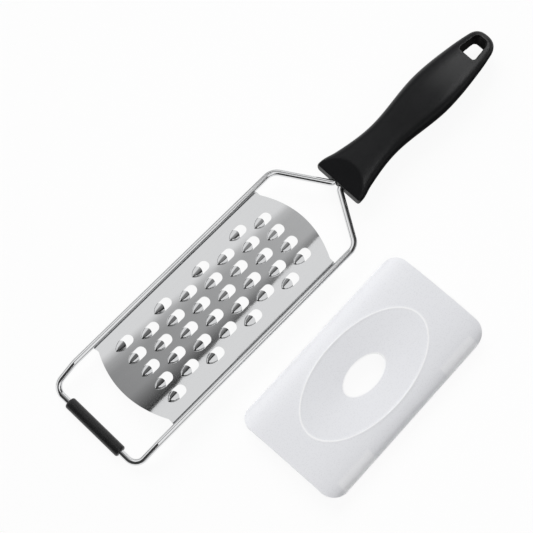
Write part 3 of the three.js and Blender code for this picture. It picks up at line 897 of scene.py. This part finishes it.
arc = np.linspace(0, math.pi / 2, 8)
shoulder = np.column_stack([sleeve_half - sleeve_round + sleeve_round * np.sin(arc),
                            sleeve_radius - sleeve_round + sleeve_round * np.cos(arc)])
barrel_along = np.linspace(0, sleeve_half - sleeve_round, barrel_rows + 1)[:-1]
barrel = np.column_stack([barrel_along, np.full(barrel_rows, sleeve_radius)])
bore = np.array([(sleeve_half, bore_mouth), (sleeve_half - bore_flare, bore_radius), (0, bore_radius)])
half_profile = np.vstack([barrel, shoulder, bore])
profile = np.vstack([half_profile, (half_profile * (-1, 1))[::-1][1:-1]])
sleeve_points = []
for along, radius in profile:
    for step in range(sleeve_sides):
        angle = 2 * math.pi * step / sleeve_sides
        x = foot_x + radius * math.cos(angle)
        sleeve_points.append((x, along, foot_height + radius * math.sin(angle)))
rubber_sleeve = place_mesh("rubber_sleeve", sleeve_points, ring_faces(len(profile), sleeve_sides, True))
print("rubber sleeve has", face_count(rubber_sleeve), "faces")

# %% [markdown]
# ## Riding on the frame
# Each new piece stands for one CAD node and moves with that node's body. The grater is one body; the
# cover is the other, because it lifts away.

# %% Hide every piece's CAD node and hang the piece on its body; the finish named here is given further down
for piece, node, body, finish_slot in [
    (bent_rod, "wire_frame", "grater", "polished_rod"),
    (toothed_sheet, "grating_plate", "grater", "steel_plate"),
    (grip, "handle", "grater", "black_moulding"),
    (rubber_sleeve, "foot_sleeve", "grater", "black_rubber"),
    (clip_cover, "blade_cover", "cover", "milky_plastic"),
]:
    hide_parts(node)
    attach(piece, body)
    print(piece.name, "stands for", node, "and rides on", body)

# %% [markdown]
# ## Finishes
# All finishes are made from nodes. Two effects are shared by several of them, so each is one node group:
# a fine grain, which every moulded or rolled surface has at its own scale, and soft handling marks, the
# cloudy differences in gloss that hands and cloths leave.

# %% Node helpers
def add_node(tree, kind, **settings):
    """A node with its properties and sockets set by name."""
    made = tree.nodes.new(kind)
    for key, value in settings.items():
        if key in made.inputs:
            made.inputs[key].default_value = value
        else:
            setattr(made, key, value)
    return made


def effect_group(name, inputs, outputs):
    tree = bpy.data.node_groups.new(name, "ShaderNodeTree")
    for title, value in inputs.items():
        tree.interface.new_socket(title, in_out="INPUT", socket_type="NodeSocketFloat").default_value = value
    for title in outputs:
        tree.interface.new_socket(title, in_out="OUTPUT", socket_type="NodeSocketFloat")
    return tree, tree.nodes.new("NodeGroupInput"), tree.nodes.new("NodeGroupOutput")


def use_group(tree, group, **values):
    return add_node(tree, "ShaderNodeGroup", node_tree=group, **values)


def calculate(tree, operation, first, second):
    """One sum on two values, each a socket or a number."""
    made = add_node(tree, "ShaderNodeMath", operation=operation)
    for socket, value in zip(made.inputs, (first, second)):
        if isinstance(value, (int, float)):
            socket.default_value = value
        else:
            tree.links.new(value, socket)
    return made.outputs[0]


def spread(tree, source, low, high, from_low=0.0, from_high=1.0):
    """A value stretched to a new range; used to turn a mask into a roughness or a height."""
    ends = {"From Min": from_low, "From Max": from_high, "To Min": low, "To Max": high}
    made = add_node(tree, "ShaderNodeMapRange", **ends)
    tree.links.new(source, made.inputs["Value"])
    return made.outputs["Result"]

# %% Shared effects
grain_settings = {"Scale": 1500.0, "Detail": 2.0}
fine_grain, grain_in, grain_out = effect_group("fine_grain", grain_settings, ["Height", "Specks"])
grain_place = add_node(fine_grain, "ShaderNodeTexCoord")
grain_noise = add_node(fine_grain, "ShaderNodeTexNoise", Roughness=0.6)
grain_specks = add_node(fine_grain, "ShaderNodeTexVoronoi")
for texture in (grain_noise, grain_specks):
    fine_grain.links.new(grain_place.outputs["Object"], texture.inputs["Vector"])
    fine_grain.links.new(grain_in.outputs["Scale"], texture.inputs["Scale"])
fine_grain.links.new(grain_in.outputs["Detail"], grain_noise.inputs["Detail"])
fine_grain.links.new(grain_noise.outputs["Fac"], grain_out.inputs["Height"])
fine_grain.links.new(grain_specks.outputs["Distance"], grain_out.inputs["Specks"])

handling_marks, marks_in, marks_out = effect_group("handling_marks", {"Size": 60.0}, ["Clouds", "Smears"])
marks_place = add_node(handling_marks, "ShaderNodeTexCoord")
marks_clouds = add_node(handling_marks, "ShaderNodeTexNoise", Detail=4.0, Roughness=0.6)
marks_stretch = add_node(handling_marks, "ShaderNodeMapping", Scale=(0.15, 2.0, 2.0))
marks_smears = add_node(handling_marks, "ShaderNodeTexNoise", Detail=5.0, Roughness=0.65)
handling_marks.links.new(marks_place.outputs["Object"], marks_clouds.inputs["Vector"])
handling_marks.links.new(marks_place.outputs["Object"], marks_stretch.inputs["Vector"])
handling_marks.links.new(marks_stretch.outputs["Vector"], marks_smears.inputs["Vector"])
for noise in (marks_clouds, marks_smears):
    handling_marks.links.new(marks_in.outputs["Size"], noise.inputs["Scale"])
handling_marks.links.new(marks_clouds.outputs["Fac"], marks_out.inputs["Clouds"])
handling_marks.links.new(marks_smears.outputs["Fac"], marks_out.inputs["Smears"])
print("shared effects:", fine_grain.name, "and", handling_marks.name)

# %% [markdown]
# ### Steel finishes
# The rod is polished until it mirrors the room, so it needs little more than a hint of cloudiness. The
# sheet keeps faint lengthwise smears from the rolling mill, which vary its tone and its gloss.

# %% Finish helpers
def new_finish(name):
    material = bpy.data.materials.new(name)
    material.use_nodes = True
    tree = material.node_tree
    return material, tree, tree.nodes["Principled BSDF"]


def tint(tree, mask, dark, light):
    """A colour between two tones along a mask: a drifting tone on most finishes, painted light on the cover.
    """
    mix = add_node(tree, "ShaderNodeMix", data_type="RGBA")
    first, second = [socket for socket in mix.inputs if socket.type == "RGBA"]
    first.default_value = (*dark, 1)
    second.default_value = (*light, 1)
    tree.links.new(mask, mix.inputs[0])
    return [socket for socket in mix.outputs if socket.type == "RGBA"][0]


def bump(tree, height, strength, distance):
    made = add_node(tree, "ShaderNodeBump", Strength=strength, Distance=distance)
    tree.links.new(height, made.inputs["Height"])
    return made.outputs["Normal"]


def feed(tree, shader, sources):
    """Link each named input of the shader to its source."""
    for title, source in sources.items():
        tree.links.new(source, shader.inputs[title])

# %% Polished rod and rolled sheet
polished, tree, shader = new_finish("polished_rod")
shader.inputs["Metallic"].default_value = 1.0
marks = use_group(tree, handling_marks, Size=90.0)
feed(tree, shader, {
    "Base Color": tint(tree, marks.outputs["Clouds"], (0.73, 0.735, 0.745), (0.78, 0.785, 0.79)),
    "Roughness": spread(tree, marks.outputs["Clouds"], 0.04, 0.09, 0.3, 0.7),
})
bent_rod.data.materials.append(polished)

rolled, tree, shader = new_finish("steel_plate")
shader.inputs["Metallic"].default_value = 1.0
marks = use_group(tree, handling_marks, Size=420.0)
grain = use_group(tree, fine_grain, Scale=2600.0, Detail=1.0)
feed(tree, shader, {
    "Base Color": tint(tree, marks.outputs["Smears"], (0.63, 0.635, 0.645), (0.67, 0.675, 0.68)),
    "Roughness": spread(tree, marks.outputs["Smears"], 0.035, 0.065, 0.3, 0.7),
    "Normal": bump(tree, grain.outputs["Height"], 0.05, 0.00002),
})
toothed_sheet.data.materials.append(rolled)
print("steel finishes:", polished.name, rolled.name)

# %% [markdown]
# ### Black finishes
# The handle is a spark-grained moulding: a very deep black with a weak, soft sheen. The rubber of the
# sleeve is a shade lighter and smoother, so its sheen is clearer.

# %% Grained moulding and rubber
moulded, tree, shader = new_finish("black_moulding")
marks = use_group(tree, handling_marks, Size=70.0)
grain = use_group(tree, fine_grain, Scale=1700.0, Detail=3.0)
feed(tree, shader, {
    "Base Color": tint(tree, grain.outputs["Height"], (0.002, 0.0022, 0.0027), (0.0046, 0.0049, 0.0057)),
    "Roughness": spread(tree, marks.outputs["Clouds"], 0.36, 0.42, 0.3, 0.7),
    "Normal": bump(tree, grain.outputs["Height"], 0.4, 0.0001),
})
shader.inputs["Specular IOR Level"].default_value = 0.2
grip.data.materials.append(moulded)

rubber, tree, shader = new_finish("black_rubber")
marks = use_group(tree, handling_marks, Size=120.0)
grain = use_group(tree, fine_grain, Scale=2400.0, Detail=2.0)
feed(tree, shader, {
    "Base Color": tint(tree, marks.outputs["Clouds"], (0.0075, 0.0075, 0.008), (0.0095, 0.0095, 0.010)),
    "Roughness": spread(tree, marks.outputs["Clouds"], 0.30, 0.36, 0.3, 0.7),
    "Normal": bump(tree, grain.outputs["Height"], 0.2, 0.00004),
})
shader.inputs["Specular IOR Level"].default_value = 0.5
rubber_sleeve.data.materials.append(rubber)
print("black finishes:", moulded.name, rubber.name)

# %% [markdown]
# ### Milky plastic
# The cover lets light through but no picture: one sees pale patches where a lip lies behind the wall and
# a pale line along the rim of the dish. A thin closed wall with transmission turns grey and noisy, so the
# plastic is a plain pale one, and two masks in the cover's own axes paint that light into its colour:
# painted light behind the lips, where more plastic scatters the light back, and a painted highlight along
# the rims of the dish and the hole. The lip patches are painted only on the shaded side, because on the
# lit side the wall itself outshines them.

# %% Masks for the cover's painted light
milky, tree, shader = new_finish("milky_plastic")
own_place = add_node(tree, "ShaderNodeTexCoord")
own_axes = add_node(tree, "ShaderNodeMapping", vector_type="TEXTURE",
                    Location=cover_middle * MM, Rotation=(0, 0, cover_turn))
own_parts = add_node(tree, "ShaderNodeSeparateXYZ")
tree.links.new(own_place.outputs["Object"], own_axes.inputs["Vector"])
tree.links.new(own_axes.outputs["Vector"], own_parts.inputs[0])
own_x = calculate(tree, "ABSOLUTE", own_parts.outputs["X"], 0)
own_y = calculate(tree, "ABSOLUTE", own_parts.outputs["Y"], 0)
lip_high = (cover_length / 2 - cover_corner) * MM
lip_low = lip_high - lip_length * MM
lip_root = (cover_half - lip_reach) * MM
end_soft, root_soft = 0.0004, 0.001
# Painted light: the base colour is lightened behind the lips, on the shaded side only.
past_start = spread(tree, own_x, 0, 1, lip_low - end_soft, lip_low + end_soft)
before_end = spread(tree, own_x, 1, 0, lip_high - end_soft, lip_high + end_soft)
along_lip = calculate(tree, "MULTIPLY", past_start, before_end)
shaded_side = calculate(tree, "MULTIPLY", own_parts.outputs["Y"], -1)
past_root = spread(tree, shaded_side, 0, 1, lip_root - root_soft, lip_root + root_soft)
lip_painted_light = calculate(tree, "MULTIPLY", along_lip, past_root)


def near_oval(half, full, gone):
    """1 along the edge of an oval in the cover's own axes, fading to nothing beside it."""
    x = calculate(tree, "POWER", calculate(tree, "DIVIDE", own_x, float(half[0]) * MM), 2)
    y = calculate(tree, "POWER", calculate(tree, "DIVIDE", own_y, float(half[1]) * MM), 2)
    reach = calculate(tree, "SQRT", calculate(tree, "ADD", x, y), 0)
    away = calculate(tree, "ABSOLUTE", calculate(tree, "SUBTRACT", reach, 1), 0)
    return spread(tree, away, 1, 0, full, gone)


# Painted highlight: a pale line along the rims of the dish and the thumb hole.
rim_painted_highlight = calculate(tree, "MAXIMUM", near_oval(dish_half, 0.005, 0.018), near_oval(hole_half, 0.03, 0.06))
print("lips lie behind the wall from", round(lip_low / MM, 1), "to", round(lip_high / MM, 1), "mm")

# %% Milky cover
grain = use_group(tree, fine_grain, Scale=1100.0, Detail=2.0)
painted_light_mask = calculate(tree, "MAXIMUM", calculate(tree, "MULTIPLY", lip_painted_light, 0.5), rim_painted_highlight)
feed(tree, shader, {
    # The lighter tone is painted light, laid where the lip and rim masks are.
    "Base Color": tint(tree, painted_light_mask, (0.815, 0.822, 0.85), (0.965, 0.968, 0.98)),
    "Roughness": spread(tree, grain.outputs["Specks"], 0.26, 0.3),
    "Normal": bump(tree, grain.outputs["Height"], 0.1, 0.00004),
})
shader.inputs["IOR"].default_value = 1.5
clip_cover.data.materials.append(milky)
print("cover finish:", milky.name)

# %% [markdown]
# ## Floor and studio
# The object lies on a white sheet in a bright, soft studio. To the camera, and in mirrors and clear
# plastic, the sheet is white; a share of its real shading is kept so that the object's shadow stays.

# %% White floor
floor_half = 2500
floor_level = -0.1
white_share = 0.92


def level_corners(low, high, height):
    """The four corners of a level card from its lowest and highest x and y."""
    return [(*low, height), (high[0], low[1], height), (*high, height), (low[0], high[1], height)]


def bare_finish(name):
    """A material with nothing in it but its output."""
    material = bpy.data.materials.new(name)
    material.use_nodes = True
    tree = material.node_tree
    tree.nodes.clear()
    return material, tree, add_node(tree, "ShaderNodeOutputMaterial")


floor_corners = level_corners((-floor_half, -floor_half), (floor_half, floor_half), floor_level)
floor = place_mesh("white_floor", floor_corners, [(0, 1, 2, 3)])
paper, tree, paper_out = bare_finish("white_paper")
paper_mix = add_node(tree, "ShaderNodeMixShader")
paper_matt = add_node(tree, "ShaderNodeBsdfDiffuse", Color=(0.9, 0.9, 0.9, 1))
paper_white = add_node(tree, "ShaderNodeEmission", Strength=1.0)
paper_rays = add_node(tree, "ShaderNodeLightPath")
seen_rays = paper_rays.outputs["Is Camera Ray"]
for title in ("Is Glossy Ray", "Is Transmission Ray"):
    seen_rays = calculate(tree, "MAXIMUM", seen_rays, paper_rays.outputs[title])
paper_share = calculate(tree, "MULTIPLY", seen_rays, white_share)
for source, socket in zip((paper_share, paper_matt.outputs[0], paper_white.outputs[0]), paper_mix.inputs):
    tree.links.new(source, socket)
tree.links.new(paper_mix.outputs[0], paper_out.inputs["Surface"])
floor.data.materials.append(paper)
print("floor is", round(2 * floor_half * MM), "m wide")

# %% [markdown]
# Polished metal shows the room more than itself. The room is plain white, and a few dark cards stand in
# it, as a photographer of chrome would place them: a dim strip under the ceiling between two bright
# halves, a dark gap over the handle, a flag beyond the foot, a flag beyond the handle and low cards
# along both sides. They are out of the picture, and the camera doesn't see them. A broad soft lamp on
# the far side gives the matt plastics their light and dark sides, and a weaker one overhead makes up for
# the light that the cards take away; mirrors don't show them.
# Two more cards and a lamp serve the black handle. The cards show in reflections only and cast no
# shadow: a dark mat on the floor keeps the white paper out of the lower rim and the hang hole, and a
# dark card overhead darkens the waist. The lamp lifts the tail. It is linked to the handle alone, because
# the polished rod would show it as a white line.

# %% White room and soft lamps
room = bpy.data.worlds.new("white_room")
bpy.context.scene.world = room
room.use_nodes = True
room_light = room.node_tree.nodes["Background"]
room_light.inputs["Color"].default_value = (1, 1, 1, 1)
room_light.inputs["Strength"].default_value = 1.0

for lamp_name, energy, direction in [
    ("side_lamp", 1.5, (0.3, 0.74, 0.6)),
    ("top_lamp", 0.5, (-0.1, -0.25, 1.0)),
]:
    lamp = bpy.data.objects.new(lamp_name, bpy.data.lights.new(lamp_name, "SUN"))
    lamp.data.energy = energy
    lamp.data.angle = math.radians(40)
    lamp.rotation_euler = Vector(direction).to_track_quat("Z", "Y").to_euler()
    lamp.visible_glossy = False
    bpy.context.scene.collection.objects.link(lamp)
    print(lamp_name, "has strength", energy)

# %% A card with its own brightness
def studio_card(name, corners, level, columns=1, rows=1):
    """A card between four corners in millimetres; level gives its brightness along and across it."""
    corners = np.array(corners, float)
    shares = np.meshgrid(np.linspace(0, 1, columns + 1), np.linspace(0, 1, rows + 1))
    along, across = [grid.ravel() for grid in shares]
    first_side = corners[0] + along[:, None] * (corners[1] - corners[0])
    other_side = corners[3] + along[:, None] * (corners[2] - corners[3])
    starts = [row * (columns + 1) + column for row in range(rows) for column in range(columns)]
    faces = [(start, start + 1, start + columns + 2, start + columns + 1) for start in starts]
    card = place_mesh(name, first_side + across[:, None] * (other_side - first_side), faces)
    shade = np.ones((len(along), 4))
    shade[:, :3] = np.broadcast_to(level(along, across), len(along))[:, None]
    shades = card.data.color_attributes.new("brightness", "FLOAT_COLOR", "POINT")
    shades.data.foreach_set("color", shade.ravel())
    finish, card_tree, card_out = bare_finish(name)
    glow = add_node(card_tree, "ShaderNodeEmission", Strength=1.0)
    brightness = add_node(card_tree, "ShaderNodeAttribute", attribute_name="brightness")
    card_tree.links.new(brightness.outputs["Color"], glow.inputs["Color"])
    card_tree.links.new(glow.outputs[0], card_out.inputs["Surface"])
    card.data.materials.append(finish)
    card.visible_camera = False
    return card

# %% How bright each card is
card_black = 0.05
flag_lift = 0.12


def strip_level(along, across):
    """Dimmest at its near edge and beyond the foot, brighter towards the handle, soft at its far edge."""
    middle = 0.12 + 0.69 * along
    edge_width = np.interp(along, [0, 0.38, 0.69, 1], [0.42, 0.32, 0.17, 0.1])
    edge_depth = np.interp(along, [0, 0.38, 0.69, 1], [0.97, 0.97, 0.58, 0.3])
    dimmed = middle * (1 - edge_depth * np.clip(1 - across / edge_width, 0, 1))
    return dimmed + (1 - dimmed) * np.interp(across, [0.7, 0.8, 0.87, 0.93, 1], [0, 0.14, 0.28, 0.65, 1])


def side_level(along, across):
    """Black beside the handle, grey beside the foot, so that the teeth get no hard outline."""
    return np.interp(along, [0.42, 0.5], [0.35, 0.15])


def flag_level(along, across):
    """Black where legs and handle mirror it, grey beyond, so that the sheet isn't black from behind."""
    beyond = np.interp(along, [0.35, 0.5], [0, 1])
    return card_black + flag_lift * beyond * np.interp(across, [0.2, 0.3], [0, 1])


def black(along, across):
    return card_black

# %% Dark cards
ceiling = 700
shade_level = ceiling - 10
mat_level = floor_level / 2
strip_corners = [(-420, 16, ceiling), (300, 84, ceiling), (300, 186, ceiling), (-420, 435, ceiling)]
foot_corners = [(-420, -700, ceiling), (-420, 300, ceiling), (-1100, 300, 1), (-1100, -700, 1)]
flag_corners = [(110, 60, ceiling), (110, -900, ceiling), (900, -900, 1), (900, 60, 1)]
far_corners = [(-900, 700, 1), (900, 700, 1), (900, 701, 330), (-900, 701, 330)]
near_corners = [(-900, -700, 1), (900, -700, 1), (900, -701, 400), (-900, -701, 400)]
cards = [
    studio_card("ceiling_strip", strip_corners, strip_level, 36, 60),
    studio_card("ceiling_gap", level_corners((-60, -200), (300, -60), ceiling), black),
    studio_card("foot_flag", foot_corners, black),
    studio_card("handle_flag", flag_corners, flag_level, 24, 24),
    studio_card("far_card", far_corners, side_level, 36),
    studio_card("near_card", near_corners, side_level, 36),
]
mirrored_cards = [
    studio_card("handle_mat", level_corners((-74, -60), (60, 5), mat_level), black),
    studio_card("waist_shade", level_corners((110, -80), (300, 700), shade_level), black),
]
for card in mirrored_cards:
    card.visible_diffuse = False
    card.visible_shadow = False
print(len(cards), "dark cards, and", len(mirrored_cards), "that show in reflections only")

# %% Lamp that only the handle mirrors
tail_lamp = bpy.data.objects.new("tail_lamp", bpy.data.lights.new("tail_lamp", "AREA"))
tail_lamp.data.shape = "RECTANGLE"
tail_lamp.data.size = 880 * MM
tail_lamp.data.size_y = 280 * MM
tail_lamp.data.energy = 4.8
tail_lamp.location = Vector((435, -160, 402)) * MM
tail_lamp.rotation_euler = Vector((186, 0, 210)).to_track_quat("Z", "Y").to_euler()
tail_lamp.visible_camera = False
tail_lamp.visible_diffuse = False
bpy.context.scene.collection.objects.link(tail_lamp)
tail_lamp.light_linking.receiver_collection = bpy.data.collections.new("lit_by_tail_lamp")
tail_lamp.light_linking.receiver_collection.objects.link(grip)
print("tail_lamp has strength", round(tail_lamp.data.energy, 1))
bpy.context.scene.view_settings.view_transform = "Standard"
